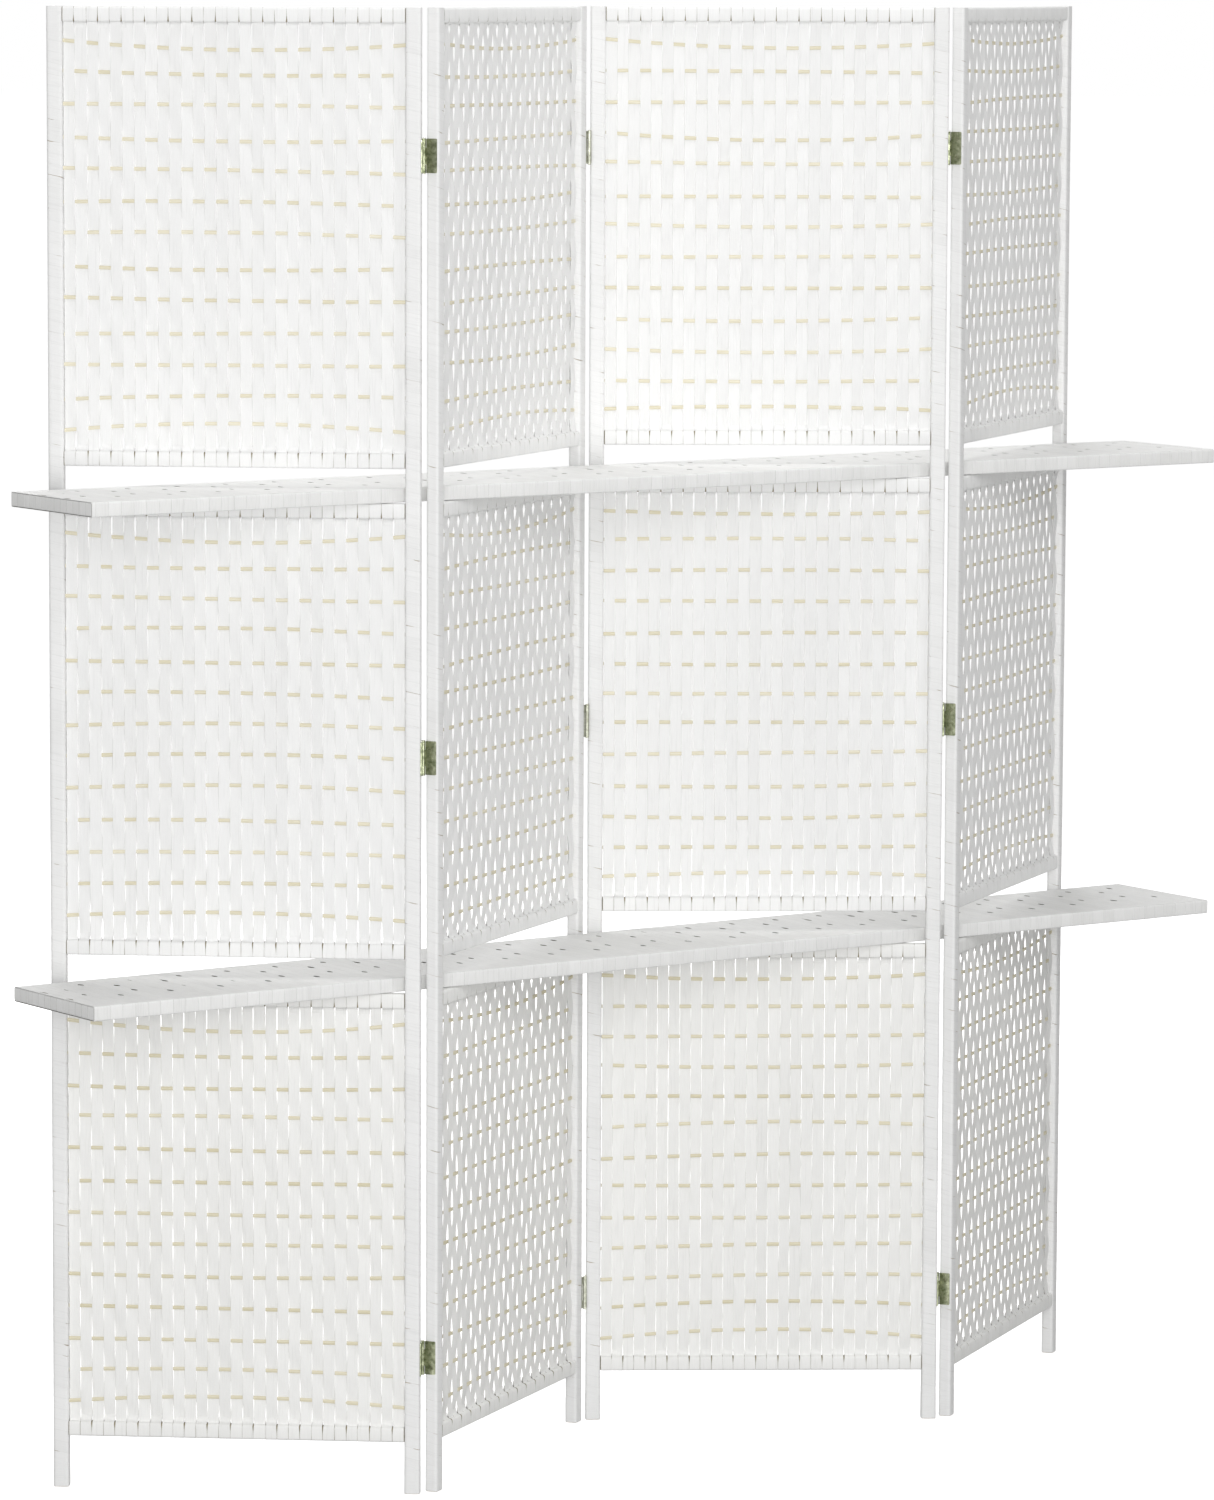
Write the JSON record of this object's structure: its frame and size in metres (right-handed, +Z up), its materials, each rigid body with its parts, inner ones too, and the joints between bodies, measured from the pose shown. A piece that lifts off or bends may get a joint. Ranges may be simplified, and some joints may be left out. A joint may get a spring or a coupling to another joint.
{
  "type": "folding screen with shelves",
  "caption": "Free-standing folding screen of hinged wooden frames woven with flat white paper strips over thin rods, with long loose shelves lying through the slots between woven sections.",
  "frame": {"origin": "on the floor, under the centre of the overall box, which is also the middle of the shelves' length", "axes": "+Z up, +X to the right along the shelves, +Y to the back of the screen"},
  "size_m": [1.69, 0.2947, 1.8],
  "materials": {
    "paper_strip": "matt white flat twisted-paper strip",
    "rod_wood": "bare split bamboo, pale honey tan",
    "frame_wood": "planed softwood, unvarnished",
    "hinge_metal": "dull antique brass",
    "hinge_pin": "plain drawn wire",
    "screw_metal": "dull antique brass"
  },
  "bodies": {
    "middle_pins": {"middle_hinge_pins": "hinge_pin"},
    "panel_1": {"panel_1_left_post": "frame_wood", "panel_1_right_post": "frame_wood", "panel_1_post_wraps": "paper_strip", "panel_1_lower_rails": "frame_wood", "panel_1_lower_weave": "paper_strip", "panel_1_middle_rails": "frame_wood", "panel_1_middle_weave": "paper_strip", "panel_1_upper_rails": "frame_wood", "panel_1_upper_weave": "paper_strip", "panel_1_rods": "rod_wood", "panel_1_right_hinge_leaves": "hinge_metal", "panel_1_hinge_screws": "screw_metal"},
    "panel_2": {"panel_2_left_post": "frame_wood", "panel_2_right_post": "frame_wood", "panel_2_post_wraps": "paper_strip", "panel_2_lower_rails": "frame_wood", "panel_2_lower_weave": "paper_strip", "panel_2_middle_rails": "frame_wood", "panel_2_middle_weave": "paper_strip", "panel_2_upper_rails": "frame_wood", "panel_2_upper_weave": "paper_strip", "panel_2_rods": "rod_wood", "panel_2_left_hinge_leaves": "hinge_metal", "panel_2_right_hinge_leaves": "hinge_metal", "panel_2_hinge_screws": "screw_metal", "left_hinge_pins": "hinge_pin"},
    "panel_3": {"panel_3_left_post": "frame_wood", "panel_3_right_post": "frame_wood", "panel_3_post_wraps": "paper_strip", "panel_3_lower_rails": "frame_wood", "panel_3_lower_weave": "paper_strip", "panel_3_middle_rails": "frame_wood", "panel_3_middle_weave": "paper_strip", "panel_3_upper_rails": "frame_wood", "panel_3_upper_weave": "paper_strip", "panel_3_rods": "rod_wood", "panel_3_left_hinge_leaves": "hinge_metal", "panel_3_right_hinge_leaves": "hinge_metal", "panel_3_hinge_screws": "screw_metal", "right_hinge_pins": "hinge_pin"},
    "panel_4": {"panel_4_left_post": "frame_wood", "panel_4_right_post": "frame_wood", "panel_4_post_wraps": "paper_strip", "panel_4_lower_rails": "frame_wood", "panel_4_lower_weave": "paper_strip", "panel_4_middle_rails": "frame_wood", "panel_4_middle_weave": "paper_strip", "panel_4_upper_rails": "frame_wood", "panel_4_upper_weave": "paper_strip", "panel_4_rods": "rod_wood", "panel_4_left_hinge_leaves": "hinge_metal", "panel_4_hinge_screws": "screw_metal"},
    "lower_shelf": {"lower_shelf_cover": "paper_strip", "lower_shelf_rails": "frame_wood", "lower_shelf_cross_bars": "frame_wood"},
    "upper_shelf": {"upper_shelf_cover": "paper_strip", "upper_shelf_rails": "frame_wood", "upper_shelf_cross_bars": "frame_wood"}
  },
  "joints": [
    {"name": "panel_2_fold", "type": "hinge", "parent": "middle_pins", "child": "panel_2", "pos_m": [0, 0.09202, 0.901], "axis": [0, 0, 1], "range_deg": [0, 57]},
    {"name": "panel_3_fold", "type": "hinge", "parent": "middle_pins", "child": "panel_3", "pos_m": [0, 0.09202, 0.901], "axis": [0, 0, -1], "range_deg": [0, 57]},
    {"name": "panel_1_fold", "type": "hinge", "parent": "panel_2", "child": "panel_1", "pos_m": [-0.39334, -0.13366, 0.901], "axis": [0, 0, -1], "range_deg": [0, 107.51]},
    {"name": "panel_4_fold", "type": "hinge", "parent": "panel_3", "child": "panel_4", "pos_m": [0.39334, -0.13366, 0.901], "axis": [0, 0, 1], "range_deg": [0, 112.51]},
    {"name": "lower_shelf_slide", "type": "slide", "parent": "middle_pins", "child": "lower_shelf", "axis": [1, 0, 0], "range_m": [-0.7, 0.7]},
    {"name": "upper_shelf_slide", "type": "slide", "parent": "middle_pins", "child": "upper_shelf", "axis": [1, 0, 0], "range_m": [-0.7, 0.7]}
  ],
  "couplings": [
    {"joint": "panel_3_fold", "follows": "panel_2_fold", "ratio": 1},
    {"joint": "panel_1_fold", "follows": "panel_2_fold", "ratio": 1.886},
    {"joint": "panel_4_fold", "follows": "panel_2_fold", "ratio": 1.9737}
  ]
}
